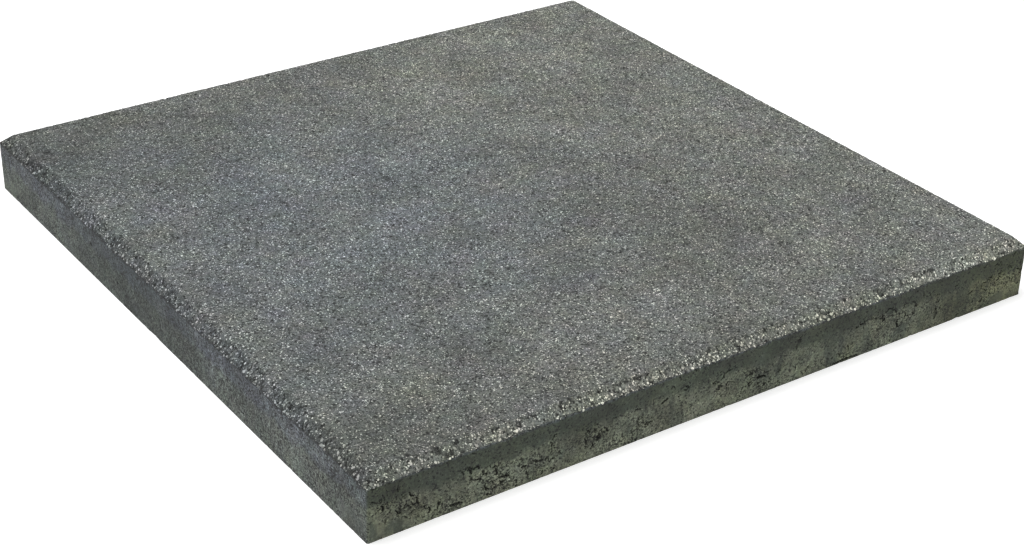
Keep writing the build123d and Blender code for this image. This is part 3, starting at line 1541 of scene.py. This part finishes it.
@dataclass
class GritSpread:
    """The grit that blasting lays bare, as joined stones set into the face and the bevel.

    Attributes:
        form: the slab's form.
        sorts: the sorts of grit, the palest first, whose shares add up to 1.
        flanks: the slab's flanks, in the order of their sides.
        face_step: mean distance between stones in the face, in mm.
        rim_step: mean distance between stones in the bevel, in mm.
        rim_growth: how much larger stones are at the bevel's foot.
        stray: how far a stone may lie out of line, as a share of the step.
        foot_inset: how far inside the outline the bevel's lowest stones lie, in mm.
        sunk: how deep a stone's middle lies in the paste, as least and greatest share of its width.
        cut: how far under the nominal form a stone may end, in mm.
        large: width over which a stone counts as large, in mm.
        blocky: share of blocks among the large stones, and among the rest.
        seed: seed of everything random about it.
        CELL_FILL: half the size of a stone on the bake map, as a share of its cell.
        FEEL: how far round a stone the slope of the paste is felt, in mm.
    """

    form: SlabForm
    sorts: tuple[Sort, ...]
    flanks: tuple[Flank, ...] = FLANKS
    face_step: float = 2.32
    rim_step: float = 1.7
    rim_growth: float = 1.5
    stray: float = 0.48
    foot_inset: float = 0.35
    sunk: tuple[float, float] = (-0.06, 0.26)
    cut: float = 0.28
    large: float = 1.7
    blocky: tuple[float, float] = (0.35, 0.85)
    seed: int = 7
    CELL_FILL: ClassVar[float] = 0.38
    FEEL: ClassVar[float] = 0.7

    def __post_init__(self) -> None:
        """Starts the random numbers."""
        self.rng = np.random.default_rng(self.seed)

    @property
    def edge(self) -> float:
        """Inset within which a stone is one of the bevel's."""
        return self.form.bevel + 0.3

    def build(self) -> list[bpy.types.Object]:
        """Builds one joined mesh for each sort.

        Returns:
            The objects, in the order of the sorts.
        """
        plan = self.places()
        low = eased(self.edge, 2.0, self.form.inset(plan))
        kind = self.kinds(plan, low)
        return [
            self.stones(sort, plan[kind == k], low[kind == k])
            for k, sort in enumerate(self.sorts)
        ]

    def places(self) -> Array:
        """Where the stones lie: on the face, in the bevel and along its foot.

        Returns:
            Rows of x and y.
        """
        form, rng = self.form, self.rng
        corner = np.full(2, form.half)
        face = scattered(rng, -corner, corner, self.face_step, self.stray)
        face = face[form.inset(face) > self.edge]
        # The bevel's own stones lie closer, and a last row follows its foot.
        rim = scattered(rng, -corner, corner, self.rim_step, self.stray)
        rim = rim[(form.inset(rim) > 0.8) & (form.inset(rim) < self.edge)]
        line = form.outline(self.foot_inset)
        along = line.stations(self.rim_step)
        foot = line.walk(along + rng.uniform(-0.5, 0.5, len(along)))[0]
        foot = foot + rng.uniform(-self.foot_inset, self.foot_inset, foot.shape)
        return np.vstack([face, rim, foot])

    def kinds(self, plan: Array, low: Array) -> Array:
        """Which sort each stone is of. The palest sort's share changes towards the bevel's foot.

        Args:
            plan: where the stones lie, rows of x and y.
            low: how near each lies to the bevel's foot, from 0 on the face to 1.

        Returns:
            For each stone, its sort's place among the sorts.
        """
        palest = self.sorts[0].share
        shares = np.array([flank.pale for flank in self.flanks])
        pale = palest + (shares[side_of(plan)] - palest) * low
        pick = self.rng.uniform(0.0, 1.0, len(plan))
        rest = palest + (pick - pale) * (1.0 - palest) / (1.0 - pale)
        ends = np.cumsum([sort.share for sort in self.sorts])
        kind = np.where(pick < pale, 0, np.searchsorted(ends, rest))
        return np.minimum(kind, len(self.sorts) - 1)

    def stones(self, sort: Sort, plan: Array, low: Array) -> bpy.types.Object:
        """One sort's stones as one mesh.

        Args:
            sort: the sort.
            plan: where they lie, rows of x and y.
            low: how near each lies to the bevel's foot, from 0 on the face to 1.

        Returns:
            The object.
        """
        rng, form = self.rng, self.form
        count = len(plan)
        width = sort.least + (sort.most - sort.least) * rng.uniform(0, 1, count) ** 1.5
        width = width * (1.0 + (self.rim_growth - 1.0) * low)
        level, out = self._surface(plan)
        sunk = (rng.uniform(*self.sunk, count) * width)[:, None]
        middle = np.column_stack([plan, level]) - out * sunk
        below = rng.uniform(0.0, self.cut, count)
        blocky = rng.uniform(0, 1, count) < np.where(width > self.large, *self.blocky)
        # Painted light and shade: near the bevel's foot each stone's random tone is painted darker or
        # lighter with its side.
        painted_light_and_shade = np.array([flank.painted_light_and_shade for flank in self.flanks])[side_of(plan)]
        tone = rng.uniform(0.0, 1.0, count) * (1.0 - 0.6 * painted_light_and_shade * low)
        across = math.ceil(math.sqrt(count))
        patches = []
        for (corners, sides), chosen in ((block(), blocky), (pebble(), ~blocky)):
            index = np.nonzero(chosen)[0]
            shape = corners * rng.uniform(0.75, 1.1, (len(index), len(corners), 1))
            shape = shape * rng.uniform(0.7, 1.0, (len(index), 1, 3))
            shape = np.einsum("nij,nkj->nki", self._turns(len(index)), shape)
            where = shape * (width[index] / 2)[:, None, None] + middle[index][:, None]
            each = np.repeat(index, len(corners))
            faces = (sides + np.arange(len(index))[:, None, None] * len(corners)).reshape(-1, 3)
            reach = np.abs(shape[..., :2]).max(axis=(1, 2), keepdims=True)
            cell = np.column_stack([each % across, each // across]) + 0.5
            sheet = (cell + (shape[..., :2] / reach).reshape(-1, 2) * self.CELL_FILL) / across
            marks = {"tone": tone[each]}
            points = form.held_in(where.reshape(-1, 3), below[each])
            patches.append(Patch(points, faces, sheet, marks))
        item = welded(patches, sort.finish.name, weld=EXACT)
        item.data.materials.append(sort.finish.material())
        return item

    def _surface(self, plan: Array) -> tuple[Array, Array]:
        """The paste under the stones.

        Args:
            plan: rows of x and y.

        Returns:
            One height for each row, and rows of the outward normal.
        """
        slopes = [
            (self.form.face_level(plan + d) - self.form.face_level(plan - d)) / (2 * self.FEEL)
            for d in (np.array([self.FEEL, 0.0]), np.array([0.0, self.FEEL]))
        ]
        out = np.column_stack([-slopes[0], -slopes[1], np.ones(len(plan))])
        return self.form.face_level(plan), out / np.linalg.norm(out, axis=1, keepdims=True)

    def _turns(self, count: int) -> Array:
        """Random rotations.

        Args:
            count: how many.

        Returns:
            One matrix for each.
        """
        q = self.rng.normal(size=(count, 4))
        w, x, y, z = (q / np.linalg.norm(q, axis=1, keepdims=True)).T
        rows = [
            [1 - 2 * (y * y + z * z), 2 * (x * y - z * w), 2 * (x * z + y * w)],
            [2 * (x * y + z * w), 1 - 2 * (x * x + z * z), 2 * (y * z - x * w)],
            [2 * (x * z - y * w), 2 * (y * z + x * w), 1 - 2 * (x * x + y * y)],
        ]
        return np.moveaxis(np.array(rows), -1, 0)


# --- the studio ----------------------------------------------------------------------------


@dataclass(frozen=True)
class Studio:
    """Floor, lights and camera.

    Attributes:
        floor_radius: radius of the floor, in metres.
        floor_colour: how light the floor is.
        floor_glow: how much the floor shines where it is seen, so that it stays white.
        floor_drop: how far the floor lies under the slab, in mm.
        sky: strength of the light from all round.
        key_power: power of the soft lamp overhead, in watts.
        key_place: where that lamp hangs, in metres.
        key_width: width of that lamp, in metres.
        azimuth: the camera's direction round the slab, in degrees.
        elevation: its height above the horizon, in degrees.
        roll: its tilt about its own axis, in degrees.
        distance: how far it stands from the slab's foot, in metres.
        lens: its focal length, in mm.
        aim: how far its aim lies right of and above the slab's foot, in metres.
        FLOOR_SIDES: number of the floor's sides.
        REACH: how far the camera sees, in metres.
    """

    floor_radius: float = 9.0
    floor_colour: float = 0.8
    floor_glow: float = 0.55
    floor_drop: float = 0.02
    sky: float = 0.5
    key_power: float = 48.0
    key_place: Triple = (-0.5, 0.35, 2.9)
    key_width: float = 1.3
    azimuth: float = -35.19
    elevation: float = 29.24
    roll: float = 1.3
    distance: float = 1.3864
    lens: float = 71.19
    aim: tuple[float, float] = (0.0134, -0.0236)
    FLOOR_SIDES: ClassVar[int] = 96
    REACH: ClassVar[float] = 60.0

    def build(self) -> None:
        """Makes floor, lights and camera."""
        self.floor()
        self.world()
        self.key()
        self.camera()

    def floor(self) -> None:
        """A pale, matte floor that keeps the slab's shadow."""
        angles = np.arange(self.FLOOR_SIDES) * math.tau / self.FLOOR_SIDES
        ring = np.column_stack([np.cos(angles), np.sin(angles)]) * self.floor_radius
        corners = [(x, y, -self.floor_drop * MM) for x, y in ring.tolist()]
        mesh = bpy.data.meshes.new("floor")
        mesh.from_pydata(corners, [], [list(range(self.FLOOR_SIDES))])
        item = bpy.data.objects.new("floor", mesh)
        bpy.context.scene.collection.objects.link(item)
        graph = Graph(bpy.data.materials.new("pale_floor"))
        surface = {
            "Base Color": (self.floor_colour,) * 3,
            "Roughness": 0.9,
            "Emission Color": (1.0, 1.0, 1.0),
            "Emission Strength": self._seen(graph) * self.floor_glow,
        }
        shader = graph.node("ShaderNodeBsdfPrincipled", None, surface).outputs["BSDF"]
        graph.node("ShaderNodeOutputMaterial", None, {"Surface": shader})
        mesh.materials.append(graph.owner)

    @staticmethod
    def _seen(graph: Graph) -> Value:
        """What tells the camera's view from the light that falls on the slab.

        Args:
            graph: the graph to read it in.

        Returns:
            1 for rays that come from the camera, a mirror or glass, and 0 for the rest.
        """
        path = graph.node("ShaderNodeLightPath").outputs
        mirror = graph.math("MAXIMUM", path["Is Glossy Ray"], path["Is Transmission Ray"])
        return graph.math("MAXIMUM", path["Is Camera Ray"], mirror)

    def world(self) -> None:
        """Even light from all round, and white behind everything."""
        graph = Graph(bpy.data.worlds.new("studio"))
        bpy.context.scene.world = graph.owner
        strength = self.sky + self._seen(graph) * (1.0 - self.sky)
        light = {"Color": (1.0, 1.0, 1.0), "Strength": strength}
        shader = graph.node("ShaderNodeBackground", None, light).outputs["Background"]
        graph.node("ShaderNodeOutputWorld", None, {"Surface": shader})

    def key(self) -> None:
        """A soft lamp overhead."""
        lamp = bpy.data.lights.new("key", "AREA")
        lamp.energy = self.key_power
        lamp.shape = "SQUARE"
        lamp.size = self.key_width
        item = bpy.data.objects.new("key", lamp)
        place = Vector(self.key_place)
        facing = place.to_track_quat("Z", "Y").to_matrix().to_4x4()
        item.matrix_world = Matrix.Translation(place) @ facing
        bpy.context.scene.collection.objects.link(item)

    def camera(self) -> None:
        """The camera, looking down at the slab's near corner."""
        azimuth, elevation = math.radians(self.azimuth), math.radians(self.elevation)
        out = math.cos(elevation)
        back = Vector((math.sin(azimuth) * out, -math.cos(azimuth) * out, math.sin(elevation)))
        level = Vector((math.cos(azimuth), math.sin(azimuth), 0.0))
        turn = Matrix.Rotation(math.radians(self.roll), 3, back)
        right, up = turn @ level, turn @ back.cross(level)
        place = back * self.distance + right * self.aim[0] + up * self.aim[1]
        item = bpy.data.objects.new("camera", bpy.data.cameras.new("camera"))
        item.data.lens = self.lens
        item.data.clip_end = self.REACH
        axes = Matrix((right, up, back)).transposed().to_4x4()
        item.matrix_world = Matrix.Translation(place) @ axes
        bpy.context.scene.collection.objects.link(item)
        bpy.context.scene.camera = item


# --- all of it -----------------------------------------------------------------------------


def grit_sorts() -> tuple[Sort, ...]:
    """The sorts of grit in the facing.

    Returns:
        The sorts, the palest first.
    """
    pale = BrokenStone("pale_grit", (0.24, 0.239, 0.223), (1.0, 0.98, 0.93), 0.7)
    dark = BrokenStone("dark_grit", (0.025, 0.027, 0.026), (0.07, 0.075, 0.07), 0.5)
    blue = BrokenStone("blue_grey_grit", (0.08, 0.087, 0.086), (0.26, 0.271, 0.27), 0.3)
    olive = BrokenStone("olive_grit", (0.08, 0.084, 0.075), (0.27, 0.273, 0.248), 0.3)
    return (
        Sort(pale, share=0.22, least=0.62, most=1.95),
        Sort(dark, share=0.22, least=0.65, most=1.46),
        Sort(blue, share=0.28, least=0.7, most=1.65),
        Sort(olive, share=0.28, least=0.7, most=1.65),
    )


def put_on(piece: bpy.types.Object) -> None:
    """Makes a piece part of the slab, in place of its plain solid.

    Args:
        piece: the piece.
    """
    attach(piece, BODY)
    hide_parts(NODE)
    log.info("%s: %d triangles", piece.name, len(piece.data.polygons))


def main() -> None:
    """Builds the slab and the studio round it."""
    logging.basicConfig(level=logging.INFO, format="%(name)s: %(message)s")
    bpy.context.scene.view_settings.view_transform = "Standard"
    low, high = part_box(NODE)
    size = (high - low) * PER_METRE
    form = SlabForm(side=size.x, height=size.z)
    put_on(SlabBody(form).build())
    for piece in GritSpread(form, grit_sorts()).build():
        put_on(piece)
    Studio().build()


if __name__ == "__main__":
    main()
